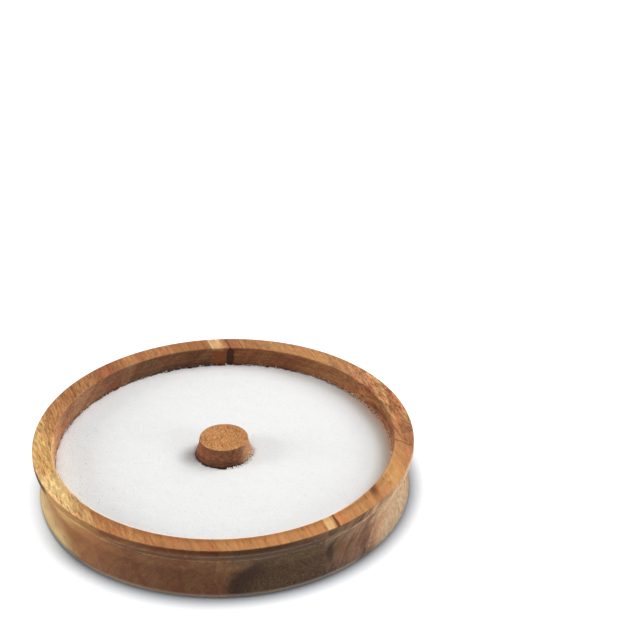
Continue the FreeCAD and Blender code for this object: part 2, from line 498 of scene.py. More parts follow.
def new_material(name):
    """An empty material with a Principled shader, and its nodes."""
    material = bpy.data.materials.new(name)
    material.use_nodes = True
    return material, Nodes(material.node_tree), material.node_tree.nodes["Principled BSDF"].inputs


# ------------------------------------------------------------------ what the staves share

PORE_WIDTH = 0.75
PORE_LENGTH = 5.25
TOOL_PITCH = 0.8
# a point that the crack's line runs through, across the grain and along it
CRACK_ACROSS = 62.4
CRACK_ALONG = -27.4


def make_grain_space():
    """Where a point is in the panel, in millimetres: across the grain, along it and up; and how much
    the surface there is end grain, which grows as it faces along the grain rather than up or across."""
    nodes, _ = new_group("grain_space", {})
    where = nodes.add("ShaderNodeTexCoord").outputs

    def in_panel(vector, scale):
        inputs = {"Vector": vector, "Rotation": (0, 0, -GRAIN_ANGLE), "Scale": scale}
        return nodes.add("ShaderNodeMapping", inputs, vector_type="POINT").outputs[0]

    place = in_panel(where["Object"], PER_METRE)
    facing_across, facing_along, _ = nodes.xyz(in_panel(where["Normal"], (1, 1, 1)))
    sideways = nodes.math("MAXIMUM", nodes.length(facing_across, facing_along), 0.05)
    along_share = nodes.math("DIVIDE", nodes.math("ABSOLUTE", facing_along), sideways)
    end = nodes.times((along_share, 0.25, 0.95), (sideways, 0.2, 0.6))
    across, along, height = nodes.xyz(place)
    results = {"Place": place, "Across": across, "Along": along, "Height": height, "End Grain": end}
    return put_out(nodes, results)


def make_growth():
    """Growth rings round a pith that runs along the grain. The distance from it, wandering and leaning,
    is counted in ring widths. Slow bands of tone follow the count, and so do thin lines, which fade in
    with the cube of the place between two whole counts and stop sharply."""
    inputs = {"Place": ZERO, "Pith Across": 0.0, "Pith Height": -60.0, "Ring Width": 2.4}
    nodes, given = new_group("growth_rings", inputs | {"Wander": 3.0, "Lean": 0.02, "Seed": 0.0})
    across, along, height = nodes.xyz(given["Place"])
    seed = given["Seed"]
    beside, above = nodes.less(across, given["Pith Across"]), nodes.less(height, given["Pith Height"])
    distance = nodes.length(beside, above)
    slow = nodes.figure(given["Place"], (0.045, 0.007, 0.045), 3.0, 0.55, shift=nodes.join(seed, 0.0, 0.0))
    distance = nodes.scaled(nodes.scaled(slow, 2.0, -1.0), given["Wander"], distance)
    distance = nodes.scaled(along, given["Lean"], distance)
    count = nodes.math("DIVIDE", distance, given["Ring Width"])
    flat = nodes.join(nodes.times(count, 0.55), nodes.times(along, 0.006), seed)
    bands = nodes.rise(nodes.noise(flat, 4.0, 0.62), 0.3, 0.7)
    uneven = nodes.join(nodes.times(count, 0.8), nodes.times(along, 0.01), seed)
    between = nodes.math("FRACT", nodes.scaled(nodes.noise(uneven, 2.0, 0.5), 2.2, count))
    lines = nodes.times(nodes.math("POWER", between, 3.0), (between, 1.0, 0.93))
    return put_out(nodes, {"Bands": bands, "Lines": lines})


def make_fibre():
    """Fine fibre streaks along the grain, short wavy dark strokes and longer flecks among them, coarser
    grain, the curly hairs that show where the fibres end, coarse flecks, and a cast from reddish to
    golden."""
    inputs = {"Place": ZERO, "Seed": 0.0, "Stroke Size": 1.0, "Stroke Rate": 0.36}
    nodes, given = new_group("fibre", inputs)
    seed = nodes.join(given["Seed"], given["Seed"], 0.0)

    def layer(scale, low, high, *look):
        return nodes.rise(nodes.figure(given["Place"], scale, *look, shift=seed), low, high)

    smaller = nodes.math("DIVIDE", 1.0, given["Stroke Size"])
    stroke_thin, stroke_long = nodes.times(smaller, 1.3), nodes.times(smaller, given["Stroke Rate"])
    golden = layer((0.55, 0.12, 0.55), 0.36, 0.64, 2.0, 0.6, 0.8)
    results = {
        "Streaks": layer((1.7, 0.13, 1.7), 0.28, 0.72, 4.0, 0.68, 0.3),
        "Strokes": layer(nodes.join(stroke_thin, stroke_long, stroke_thin), 0.48, 0.66, 3.0, 0.62, 1.1),
        "Flecks": layer((0.85, 0.11, 0.85), 0.52, 0.70, 3.0, 0.6, 0.5),
        "Grain": layer((0.6, 0.05, 0.6), 0.3, 0.7, 2.0, 0.6, 0.6),
        "Hairs": layer((1.1, 0.4, 1.1), 0.34, 0.66, 4.0, 0.75, 2.2),
        "Coarse": layer((0.85, 0.24, 0.85), 0.38, 0.62, 3.0, 0.65, 0.6),
        "Cast": nodes.mix(golden, (1.10, 0.91, 0.86, 1), (0.96, 1.06, 0.98, 1)),
    }
    return put_out(nodes, results)


def make_pores():
    """Open pores: long cells along the grain, a share of which hold one pore. On end grain they are dots."""
    nodes, given = new_group("open_pores", {"Place": ZERO, "Share": 0.45})
    cell = nodes.vector("DIVIDE", given["Place"], (PORE_WIDTH, PORE_LENGTH, PORE_WIDTH))
    waver = nodes.stretch(nodes.figure(cell, (0.4, 0.4, 0.4), 1.0), (0.6, 0.0, 0.6))
    wavy = nodes.vector("ADD", cell, waver)
    cells = nodes.add("ShaderNodeTexVoronoi", {"Vector": wavy, "Scale": 1.0}).outputs
    chosen = nodes.math("LESS_THAN", nodes.xyz(cells["Color"])[0], given["Share"])
    return put_out(nodes, {"Pore": nodes.times((cells["Distance"], 0.42, 0.18), chosen)})


def make_crack():
    """A short crack in the rim, through the outer right joint: the wood near a ragged slanting line,
    between two places across the grain."""
    nodes, given = new_group("rim_crack", {"Place": ZERO})
    across, along, height = nodes.xyz(given["Place"])
    ragged = nodes.less(nodes.figure(given["Place"], (0.9, 0.9, 0.9), 2.0, 0.6), 0.5)
    off = nodes.scaled(nodes.less(across, CRACK_ACROSS), 1.5, nodes.less(along, CRACK_ALONG))
    off = nodes.math("ABSOLUTE", nodes.scaled(ragged, 4.0, off))
    within = nodes.times((across, 61.2, 62.6), (across, 67.2, 66.0), (height, 22.0, 22.5))
    return put_out(nodes, {"Crack": nodes.times((off, 0.95, 0.3), within, 0.75)})


def make_turned_edges():
    """Masks that follow the turning. Each is a product of smooth steps along the radius, the height, x
    and y: the arris at the mouth, with a painted highlight at the front, and the rim beside it; bands and
    patches on the lip, in the groove and on the foot; the depth of the well and parts of its wall; the
    knob's top, its flank and parts of that; painted shade on the wood just above the salt, up to a
    ragged line; and the marks of the tool, which run round. Most of the masks place painted shade and
    light."""
    nodes, _ = new_group("turned_edges", {})
    where = nodes.add("ShaderNodeTexCoord").outputs["Object"]
    x, y, height = nodes.xyz(nodes.stretch(where, PER_METRE))
    radius = nodes.length(x, y)
    times, rise = nodes.times, nodes.rise

    outside = rise(radius, 69.5, 70.0)
    front = rise(y, -22.0, -58.0, 0.45, 1.0)
    from_mouth = nodes.length(nodes.less(radius, MOUTH_RADIUS), nodes.less(height, DISH_HEIGHT))
    lip = times(outside, (height, DISH_HEIGHT, 22.3))
    less_left = nodes.scaled(times((x, -38.0, -30.0), (x, -2.0, -10.0)), -0.14, 1.0)
    lip_left = times(lip, (height, 19.6, 20.2), (x, -44.0, -54.0), 0.6)
    lip_middle = times(outside, (height, 22.0, 21.3), (height, 19.8, 20.2), (x, -8.0, 4.0))
    lip_middle = times(lip_middle, (x, 48.0, 40.0), (y, -40.0, -56.0))
    corner = times((height, 17.2, 18.5), (x, -8.0, 4.0, -0.28, 0.18))
    corner = nodes.plus(rise(height, 14.2, 15.9, 0.0, 0.8), corner)
    corner = times(corner, (x, -48.0, -28.0, 0.55, 1.0), (x, 36.0, 47.0, 1.0, 0.5))
    depth = times((height, 22.5, 22.0), (radius, 68.2, 67.7), (radius, 30.0, 40.0))
    less_right = nodes.scaled(rise(x, 15.0, 60.0), rise(height, 21.0, 15.5, -0.18, -0.38), 1.0)
    depth = times(depth, less_right)
    flank = times((radius, 16.0, 15.0), (height, 21.65, 21.35))
    on_knob = times((height, 21.4, 21.65), (radius, 10.0, 9.6))
    ragged = nodes.figure(where, (700, 700, 700), 3.0, 0.6)
    above_salt = nodes.scaled(ragged, -1.6, nodes.less(height, SALT_HEIGHT - 0.8))
    tool_ripple = nodes.math("SINE", times(radius, 2 * math.pi / TOOL_PITCH))
    unrolled = nodes.join(times(nodes.math("ARCTAN2", y, x), 6.0), times(height, 1.8), times(radius, 0.4))
    beside_middle = nodes.math("ABSOLUTE", x)
    masks = {
        "Mouth": times(
            (from_mouth, 0.56, 0.3),
            (x, -56.0, -46.0),
            (x, 55.0, 42.0),
            (y, -20.0, -45.0),
            (height, 21.7, 22.0),
        ),
        "Mouth Margin": times(
            (radius, 68.1, 68.5),
            (radius, 71.2, 69.0),
            (height, 22.2, 22.5),
            (nodes.scaled(x, 0.12, y), 10.0, -40.0),
        ),
        "Back Rim": times((y, 15.0, 45.0), (x, 45.0, 20.0), (height, 22.2, 22.5)),
        "Under Lip Edge": times(
            outside,
            (height, 22.5, 22.25),
            (height, 19.6, 21.4),
            (y, -44.0, -60.0),
            (x, -60.0, -10.0),
            (x, 42.0, 22.0),
        ),
        "Lip Front": times(lip, (height, 19.8, 20.4), front, (x, 34.0, 48.0, 1.0, 0.55), less_left, 0.95),
        "Lip Right": times(lip, (height, 19.6, 20.4), (x, 56.0, 64.0)),
        "Lip Middle": nodes.plus(lip_left, lip_middle),
        "Lip Foot": times(
            outside,
            (height, 15.0, 17.5),
            (height, 20.6, 20.1),
            front,
            (x, 38.0, 50.0, 1.0, 0.5),
        ),
        "Lip Corner": times(outside, corner, (height, 20.4, 19.0), front),
        "Outer Wall": times(outside, (height, 22.5, 22.0)),
        "Outer Left": times(outside, (height, 18.0, 15.5), (x, -32.0, -48.0)),
        "Outer Right": times(outside, (height, 13.0, 9.0), (x, 50.0, 60.0)),
        "Upper Groove": times(
            outside,
            (height, 8.5, 11.5),
            (height, 16.2, 14.6),
            (x, -70.0, -60.0),
            (beside_middle, 15.0, 50.0, 1.05, 1.0),
        ),
        "Foot Edge": times(outside, (height, 2.2, 0.8), (x, 60.0, 44.0), (x, -68.0, -40.0)),
        "Foot Left": times(outside, (height, 2.4, 1.6), (x, -34.0, -56.0)),
        "Foot Right": times(outside, (height, 4.2, 1.6), (x, 28.0, 42.0), (x, 64.0, 56.0, 0.5, 1.0)),
        "Well Depth": times(depth, (x, -60.0, -35.0, 0.55, 0.95)),
        "Left Wall": times(depth, (x, -35.0, -60.0)),
        "Left Wall Near": times(depth, (x, -50.0, -60.0), (y, 25.0, -4.0)),
        "Right Wall": times(depth, (x, 42.0, 56.0)),
        "Wall Foot": times(depth, (height, 18.4, 15.4), (x, -46.0, -32.0), (x, -2.0, -12.0)),
        "Knob Top": on_knob,
        "Knob Flank": flank,
        "Flank Right": times(flank, (x, 6.4, 9.4)),
        "Flank Foot": times(flank, (height, 17.6, 16.2), (x, 9.0, 4.0)),
        "Salt Line": times((above_salt, 0.9, 0.1), 0.85),
        "Facing Marks": times(tool_ripple, on_knob, (x, -7.0, 5.0)),
        "Turning": rise(nodes.noise(unrolled, 3.0, 0.65, 0.6), 0.32, 0.68),
        "Sides": rise(beside_middle, 40.0, 66.0),
        "Rear": rise(y, -40.0, 40.0),
    }
    return put_out(nodes, masks)


GRAIN_SPACE = make_grain_space()
GROWTH = make_growth()
FIBRE = make_fibre()
PORES = make_pores()
CRACK = make_crack()
TURNED_EDGES = make_turned_edges()

# how each turned part differs in tone, as a factor on the colour there. Most are painted shade and
# light: painted shade on the lip's side and under it, in the well and at its wall's foot, at the dish's
# foot, on the knob's flank and its foot, on the back of the rim and on the wood just above the salt;
# painted light in the upper groove, on the outer left and right walls, on the left inner wall and on
# the knob's right flank
TONES = {
    "Upper Groove": (1.38, 1.52, 1.56, 1),
    "Well Depth": (0.29, 0.23, 0.22, 1),
    "Lip Front": (0.475, 0.39, 0.33, 1),
    "Under Lip Edge": (0.45, 0.33, 0.21, 1),
    "Lip Foot": (0.66, 0.70, 0.84, 1),
    "Lip Corner": (0.40, 0.40, 0.45, 1),
    "Lip Right": (0.63, 0.60, 0.59, 1),
    "Lip Middle": (0.78, 0.72, 0.60, 1),
    "Outer Left": (1.34, 1.38, 1.35, 1),
    "Foot Left": (0.52, 0.62, 0.80, 1),
    "Foot Right": (0.67, 0.75, 0.84, 1),
    "Knob Top": (0.86, 0.82, 0.82, 1),
    "Knob Flank": (0.41, 0.28, 0.28, 1),
    "Flank Right": (1.9, 2.4, 2.2, 1),
    "Flank Foot": (0.6, 0.6, 0.62, 1),
    "Left Wall": (1.1, 1.15, 1.35, 1),
    "Left Wall Near": (1.85, 2.05, 2.2, 1),
    "Right Wall": (1.08, 0.96, 0.74, 1),
    "Wall Foot": (0.62, 0.66, 0.74, 1),
    "Outer Right": (1.18, 1.14, 1.02, 1),
    "Mouth Margin": (0.80, 0.78, 0.72, 1),
    "Back Rim": (0.9, 0.9, 0.96, 1),
    "Salt Line": (0.26, 0.2, 0.2, 1),
}


# ------------------------------------------------------------------ one stave's wood

def grown_colour(nodes, look, at, growth, edges):
    """Bands from light to deep, growth lines, a blush that shows most on end grain, and what only this
    stave shows."""
    bands = nodes.times(growth["Bands"], look["band_depth"], nodes.scaled(edges["Rear"], 0.8, 0.75))
    colour = nodes.mix(bands, look["light"], look["deep"])
    colour = nodes.mix(nodes.times(growth["Lines"], look["line_depth"]), colour, look["line"])
    shift = nodes.join(look["seed"], 0.0, look["seed"])
    mottle = nodes.rise(nodes.figure(at["Place"], (0.13, 0.03, 0.13), 2.0, 0.6, 0.8, shift=shift), 0.46, 0.60)
    blush = nodes.times(mottle, nodes.scaled(at["End Grain"], 0.75, 0.25), look["blush_depth"])
    return look["figure"](nodes, at, growth, nodes.mix(blush, colour, look["blush"]))


def fibre_tone(nodes, look, at, fibre, edges):
    """A factor near 1: streaks, strongest at the back and the sides; broad grain; coarse flecks on the
    rim; hairs on end grain and on the knob's top; and the marks of the tool."""
    strong = nodes.times(nodes.scaled(edges["Sides"], 0.16, 0.24), nodes.scaled(edges["Rear"], 1.25, 0.35))
    strong = nodes.times(strong, look["streak_depth"])
    streaks = nodes.scaled(nodes.less(fibre["Streaks"], 0.5), strong, 1.0)
    grain = nodes.scaled(fibre["Grain"], 0.14, 0.93)
    on_rim = nodes.times((at["Height"], 22.3, 22.5), (nodes.math("ABSOLUTE", at["Across"]), 36.0, 56.0))
    coarse = nodes.times(on_rim, look["coarse_depth"], nodes.less(fibre["Coarse"], 0.5))
    hairs = nodes.times(nodes.less(fibre["Hairs"], 0.5), nodes.scaled(edges["Knob Top"], 3.2, 1.0))
    hairs = nodes.scaled(hairs, nodes.scaled(at["End Grain"], 0.36, 0.14), 1.0)
    facing = nodes.scaled(edges["Facing Marks"], 0.2, 1.0)
    on_walls = nodes.scaled(edges["Well Depth"], 0.5, nodes.scaled(edges["Knob Flank"], 0.6, 0.06))
    turning = nodes.scaled(nodes.less(edges["Turning"], 0.5), on_walls, 1.0)
    return nodes.times(streaks, grain, nodes.plus(coarse, 1.0), hairs, facing, turning)


def marked_colour(nodes, look, at, fibre, edges, pores, colour):
    """The fibre's cast, dark strokes, reddish and pale specks on the knob's top, flecks and pores, all
    but the cast and the specks weaker on end grain and on the outer wall."""
    cast = nodes.times(nodes.scaled(edges["Outer Wall"], -0.6, 1.0), look["cast_depth"])
    colour = nodes.tint(cast, colour, fibre["Cast"])
    side_grain = nodes.scaled(nodes.math("MAXIMUM", at["End Grain"], edges["Outer Wall"]), -0.8, 1.0)
    broken = nodes.plus(nodes.scaled(edges["Sides"], 0.35, 0.5), nodes.times(edges["Knob Top"], 0.4))
    broken = nodes.times(broken, nodes.scaled(edges["Rear"], 1.1, 0.32))
    strokes = nodes.times(fibre["Strokes"], broken, look["stroke_depth"], side_grain)
    colour = nodes.tint(strokes, colour, (0.42, 0.36, 0.3, 1))
    reddish = nodes.rise(nodes.figure(at["Place"], (0.7, 0.5, 0.7), 3.0, 0.65, 1.2), 0.45, 0.56)
    pale = nodes.rise(nodes.figure(at["Place"], (1.15, 0.8, 1.15), 2.0, 0.6, 1.5), 0.48, 0.62)
    marks = (
        (nodes.times(reddish, edges["Knob Top"], 0.25), srgb(204, 118, 56)),
        (nodes.times(pale, edges["Knob Top"], 0.65), srgb(236, 192, 120)),
        (nodes.times(fibre["Flecks"], look["fleck_depth"], side_grain), look["fleck"]),
        (nodes.times(pores, look["pore_depth"], side_grain), look["pore"]),
    )
    for amount, mark in marks:
        colour = nodes.mix(amount, colour, mark)
    return colour


def end_grain_and_painted_light(nodes, look, at, fibre, edges, colour):
    """The tones of the end grain and of each turned part, most of those painted shade and light; pale
    hairs on the knob's right; painted light from the paper on the foot's edge; and a painted highlight on
    the front of the mouth's arris."""
    colour = nodes.tint(nodes.times(at["End Grain"], END_DEPTH), colour, look["end"])
    # the turned parts' tones, most of them painted shade and light
    for part, tone in TONES.items():
        colour = nodes.tint(edges[part], colour, tone)
    colour = nodes.mix(nodes.times(edges["Flank Right"], fibre["Hairs"], 0.22), colour, srgb(240, 212, 180))
    # painted light from the paper on the foot's edge
    colour = nodes.mix(nodes.times(edges["Foot Edge"], 0.3), colour, srgb(196, 184, 168))
    # painted highlight on the front of the mouth's arris
    return nodes.mix(nodes.times(edges["Mouth"], 0.95), colour, srgb(255, 245, 230))


def acacia(name, look):
    """One stave's wood. look holds its colours, its pith and rings, how strong each kind of mark is, and
    a function that adds what only this stave shows."""
    material, nodes, shader = new_material(name)
    at = use_group(nodes, GRAIN_SPACE)
    own = {"Place": at["Place"], "Seed": look["seed"]}
    pith_across, pith_height = look["pith"]
    rings_round = {"Pith Across": pith_across, "Pith Height": pith_height, "Ring Width": look["ring"]}
    growth = use_group(nodes, GROWTH, own | rings_round | {"Wander": look["wander"], "Lean": look["lean"]})
    strokes = {"Stroke Size": look["stroke_size"], "Stroke Rate": look["stroke_rate"]}
    fibre = use_group(nodes, FIBRE, own | strokes)
    pores = use_group(nodes, PORES, {"Place": at["Place"], "Share": look["pore_share"]})["Pore"]
    edges = use_group(nodes, TURNED_EDGES)

    colour = grown_colour(nodes, look, at, growth, edges)
    tone = fibre_tone(nodes, look, at, fibre, edges)
    colour = nodes.mix(1.0, colour, nodes.join(tone, tone, tone), "MULTIPLY")
    colour = marked_colour(nodes, look, at, fibre, edges, pores, colour)
    nodes.feed(shader["Base Color"], end_grain_and_painted_light(nodes, look, at, fibre, edges, colour))

    rough = nodes.scaled(pores, 0.25, nodes.scaled(fibre["Streaks"], 0.14, 0.6))
    nodes.feed(shader["Roughness"], rough)
    relief = nodes.scaled(fibre["Streaks"], 0.25, nodes.times(pores, -1.0))
    relief = nodes.scaled(growth["Lines"], -0.2, relief)
    bump = nodes.add("ShaderNodeBump", {"Strength": 0.5, "Distance": 0.12 * MM, "Height": relief})
    nodes.feed(shader["Normal"], bump.outputs["Normal"])
    shader["Specular IOR Level"].default_value = 0.22
    nodes.feed(shader["Coat Weight"], edges["Mouth"])
    shader["Coat Roughness"].default_value = 0.25
    return material


# ------------------------------------------------------------------ what only one stave shows

def sapwood_figure(nodes, at, growth, colour):
    """Yellow sapwood outside a soft, wandering boundary that comes further in at the top, lighter on top
    towards the front and paler low on the wall, where the paleness is painted light; and a dark band on
    the side of the lip."""
    across, along, height = at["Across"], at["Along"], at["Height"]
    edge = nodes.plus(nodes.rise(height, 7.5, 14.0, -70.3, -67.4), nodes.rise(height, 17.5, 22.0, 0.0, 2.6))
    edge = nodes.plus(edge, nodes.rise(height, 5.0, 2.0))
    soft = nodes.figure(at["Place"], (0.35, 0.05, 0.35), 3.0, 0.65)
    wandering = nodes.rise(height, 18.0, 21.0, 4.5, 9.0)
    off = nodes.scaled(nodes.less(soft, 0.5), wandering, nodes.less(across, edge))
    off = nodes.times(off, (height, 18.0, 21.0, 1.9, 1.0))
    sap = nodes.mix(growth["Bands"], srgb(234, 194, 128), srgb(214, 168, 102))
    # painted light: paler low on the wall, where the groove turns up towards the light
    sap = nodes.mix(nodes.rise(height, 9.0, 3.0), sap, srgb(255, 232, 166))
    on_top = nodes.rise(height, 21.8, 22.4)
    sap = nodes.mix(nodes.times(on_top, (along, 4.0, -9.0), 0.65), sap, srgb(250, 216, 156))
    fading = nodes.scaled(nodes.times((along, -10.0, -36.0), on_top), -0.5, 1.0)
    colour = nodes.mix(nodes.times((off, 6.0, -5.0), fading), colour, sap)
    on_lip = nodes.times((across, -73.6, -74.2), (height, 19.2, 20.0), (height, 22.5, 22.1))
    dark_mark = nodes.times(on_lip, (along, 13.0, 4.0), (along, -14.0, -8.0))
    return nodes.mix(dark_mark, colour, srgb(84, 52, 20))


def sapwood_tinge_figure(nodes, at, growth, colour):
    """A yellowish tinge on top beside the outer left joint, fading across the stave."""
    ragged = nodes.figure(at["Place"], (0.5, 0.12, 0.5), 3.0, 0.65, 0.8)
    past = nodes.scaled(ragged, 14.0, nodes.less(at["Across"], 7.0))
    on_top = nodes.rise(at["Height"], 21.6, 22.4)
    tinge = nodes.times((past, -40.0, -62.0), (at["Along"], -55.0, -15.0, 0.3, 1.0), on_top, 0.42)
    return nodes.mix(tinge, colour, srgb(206, 154, 96))


# the heartwood patch's oval on the front end, across the grain and up: its centre and its half axes
PATCH_ACROSS, PATCH_UP = 7.0, -10.0
PATCH_HALF_WIDTH, PATCH_HALF_HEIGHT = 37.0, 27.5


def heart_patch_figure(nodes, at, growth, colour):
    """The dark heartwood patch low on this stave's front end, under a frayed oval boundary that curves
    up and over, blackest just inside it, with a haze on the lip above."""
    height = at["Height"]
    ripple = nodes.figure(at["Place"], (0.16, 0.02, 0.16), 3.0, 0.55)
    fray = nodes.figure(at["Place"], (0.9, 0.2, 0.9), 3.0, 0.65, 0.8)
    across = nodes.scaled(ripple, 5.0, nodes.scaled(fray, 4.0, nodes.plus(at["Across"], -4.5)))
    side = nodes.math("DIVIDE", nodes.less(across, PATCH_ACROSS), PATCH_HALF_WIDTH)
    up = nodes.math("DIVIDE", nodes.less(height, PATCH_UP), PATCH_HALF_HEIGHT)
    reach = nodes.length(side, up)
    front = nodes.rise(at["Along"], -20.0, -45.0)
    core = nodes.times((reach, 0.66, 0.86), (at["Across"], -2.0, -12.0), 0.8)
    curls = nodes.rise(nodes.figure(at["Place"], (0.7, 0.2, 0.7), 4.0, 0.7, 2.4), 0.36, 0.66)
    dark = nodes.mix(core, nodes.mix(curls, srgb(92, 65, 40), srgb(154, 115, 73)), srgb(80, 50, 35))
    on_lip = nodes.times((at["Across"], -25.0, -16.0), (height, 10.0, 14.0), (height, 22.5, 22.2))
    haze = nodes.mix(curls, srgb(112, 84, 60), srgb(150, 118, 88))
    colour = nodes.mix(nodes.times(on_lip, front, 0.6), colour, haze)
    inside = nodes.times((reach, 1.06, 0.90), (at["Across"], -25.0, -19.5), front, 0.94)
    return nodes.mix(inside, colour, dark)


def right_rim_figure(nodes, at, growth, colour, across, shake, reach, front):
    """From the joint outwards on the rim: a pale sapwood strip, a dark growth line, at the front a
    reddish patch, and golden wood past a stained line. At the back the growth line widens down the
    wall, and a thinner one follows it."""
    along = at["Along"]
    times, mix, bands = nodes.times, nodes.mix, growth["Bands"]
    top = nodes.rise(at["Height"], 20.8, 21.8)
    past_strip = nodes.scaled(along, -0.0138, nodes.less(across, 21.2))
    red = times((past_strip, 0.6, 1.2), (past_strip, 10.0, 3.0), top, 0.7)
    colour = mix(red, colour, mix(front, srgb(160, 98, 58), srgb(210, 128, 78)))
    golden = mix(bands, srgb(207, 151, 94), srgb(183, 128, 78))
    colour = mix(times((across, 40.2, 41.2), top), colour, golden)
    outer = times((across, 60.2, 61.8), (along, -50.0, -43.0), top)
    past_tip = nodes.scaled(nodes.less(across, 62.0), 1.2, along)
    behind_tip = times((past_tip, -29.5, -27.5), (across, 55.0, 60.0), top)
    outer = times(nodes.math("MAXIMUM", outer, behind_tip), 0.85)
    colour = mix(outer, colour, mix(bands, srgb(190, 136, 90), srgb(160, 106, 66)))
    dark_mark = times((across, 38.6, 40.4), (across, 43.6, 41.4), front, top, (reach, 74.0, 69.5, 0.35, 1.0), 0.9)
    colour = mix(dark_mark, colour, srgb(112, 62, 34))
    colour = mix(use_group(nodes, CRACK, {"Place": at["Place"]})["Crack"], colour, srgb(92, 54, 32))
    colour = mix(times((past_strip, 0.8, 0.2), top, 0.8), colour, srgb(196, 142, 92))
    strip = mix(top, srgb(184, 116, 64), srgb(224, 180, 124))
    colour = mix(nodes.rise(past_strip, -0.8, -1.3), colour, strip)

    inner = nodes.rise(at["Height"], 22.4, 20.5)
    past_line = nodes.scaled(along, -0.011, nodes.less(past_strip, 0.75))
    behind = times(inner, nodes.less(1.0, front))
    wobble = nodes.scaled(nodes.figure(at["Place"], (0.2, 0.02, 0.32), 2.0, 0.6), 3.0, 0.2)
    past_line = nodes.scaled(behind, wobble, past_line)
    width = times(inner, (reach, 69.0, 68.4), nodes.scaled(shake, 3.4, 0.9))
    width = nodes.plus(width, times(front, top, (reach, 68.0, 73.0, 0.1, 0.7)))
    line = times((past_line, -0.15, 0.1), (nodes.less(past_line, width), 0.75, 0.45), 0.9)
    colour = mix(line, colour, srgb(84, 44, 24))
    second = times((past_line, 4.9, 5.15), (past_line, 5.6, 5.35), top, (along, 0.0, 20.0), 0.6)
    return mix(second, colour, srgb(120, 70, 40))


# (across, up, half width, half height, depth, colour) of each small knot on the right front end
END_KNOTS = (
    (18.6, 8.6, 1.6, 4.4, 0.6, srgb(66, 46, 32)),
    (24.2, 8.0, 1.6, 3.0, 0.45, srgb(170, 118, 66)),
    (19.4, 15.2, 3.0, 2.6, 0.4, srgb(116, 104, 74)),
)


def right_end_colour(nodes, at, across):
    """The front end below the lip, streaked along leaning lines: purplish brown, dark against the
    joint, past a frayed boundary pale and specked, with golden flecks and small knots."""
    height, place = at["Height"], at["Place"]
    times, mix, rise = nodes.times, nodes.mix, nodes.rise
    lean = nodes.scaled(height, -0.9, across)
    upright = nodes.scaled(height, -0.45, across)
    drift = times(at["Along"], 0.02)
    broad = nodes.noise(nodes.join(times(lean, 0.2), drift, times(height, 0.06)), 2.0, 0.5, 0.8)
    thin = nodes.noise(nodes.join(times(lean, 0.9), drift, times(height, 0.12)), 3.0, 0.6, 0.8)
    streaks = rise(nodes.scaled(thin, 0.35, times(broad, 0.65)), 0.38, 0.62)

    def streaked(dark, light):
        return mix(streaks, srgb(*dark), srgb(*light))

    end = streaked((132, 100, 80), (190, 154, 124))
    end = mix(rise(height, 9.0, 15.0), end, streaked((150, 114, 88), (208, 170, 132)))
    by_joint = nodes.plus(rise(height, 14.5, 11.5, 0.35, 1.0), rise(height, 18.6, 19.8, 0.0, 0.65))
    end = mix(times((lean, 18.0, 12.0), by_joint), end, streaked((79, 61, 42), (140, 114, 84)))
    lifted = times((lean, 22.5, 25.0), (lean, 31.0, 28.0), 0.55)
    end = mix(lifted, end, streaked((160, 122, 98), (206, 170, 136)))
    pale = streaked((234, 186, 142), (250, 224, 182))
    # painted light: paler towards the bottom, where the groove turns up, and towards the far right, where the
    # right lamp falls; the pale wood under it is the wood's own
    pale = mix(rise(height, 12.0, 4.0), pale, streaked((252, 208, 166), (255, 242, 210)))
    pale = mix(rise(lean, 36.0, 46.0, 0.0, 0.7), pale, srgb(255, 240, 206))
    fray = nodes.figure(place, (0.7, 0.2, 0.7), 4.0, 0.7, 2.0)
    frayed = nodes.scaled(nodes.less(fray, 0.5), 10.0, upright)
    end = mix(rise(frayed, 32.5, 41.0), end, pale)
    specks = rise(nodes.figure(place, (1.1, 0.4, 1.1), 3.0, 0.65, 1.0), 0.50, 0.62)
    end = mix(times(specks, (upright, 34.0, 42.0), 0.5), end, srgb(196, 146, 96))
    end = mix(times((fray, 0.54, 0.66), (lean, 14.0, 18.0), 0.4), end, srgb(236, 192, 132))
    for knot_across, knot_up, half_width, half_height, depth, colour in END_KNOTS:
        beside = nodes.math("DIVIDE", nodes.less(across, knot_across), half_width)
        above = nodes.math("DIVIDE", nodes.less(height, knot_up), half_height)
        end = mix(times((nodes.length(beside, above), 1.3, 0.5), depth), end, colour)
    return end


def right_stave_figure(nodes, at, growth, colour):
    """The rim's lines and patches, and the streaked front end below it, both a little shaken across the
    grain."""
    shake = nodes.figure(at["Place"], (0.25, 0.05, 0.25), 3.0, 0.6)
    across = nodes.scaled(shake, 1.6, nodes.plus(at["Across"], -0.8))
    reach = nodes.length(at["Across"], at["Along"])
    front = nodes.rise(at["Along"], 0.0, -20.0)
    colour = right_rim_figure(nodes, at, growth, colour, across, shake, reach, front)
    on_end = nodes.times((at["Height"], 22.5, 22.2), front, (reach, 68.5, 69.5))
    return nodes.mix(on_end, colour, right_end_colour(nodes, at, across))


def right_edge_figure(nodes, at, growth, colour):
    """A lighter part behind the middle and a darker one in front of it, the end of the crack, and pale
    tan on the outside below the rim."""
    along = at["Along"]
    light_part = nodes.times((along, 8.0, 18.0), (along, 40.0, 30.0), 0.5)
    colour = nodes.mix(light_part, colour, srgb(218, 162, 114))
    dark_part = nodes.times((along, -12.0, -22.0), (along, -42.0, -36.0), 0.5)
    colour = nodes.mix(dark_part, colour, srgb(150, 100, 66))
    colour = nodes.mix(use_group(nodes, CRACK, {"Place": at["Place"]})["Crack"], colour, srgb(92, 54, 32))
    reach = nodes.length(at["Across"], along)
    outside = nodes.times((reach, 69.5, 70.0), (at["Height"], 22.5, 22.0), (along, 14.0, -12.0, 0.3, 1.0))
    return nodes.mix(outside, colour, nodes.mix(growth["Bands"], srgb(255, 226, 184), srgb(238, 194, 152)))


# ------------------------------------------------------------------ the staves' looks

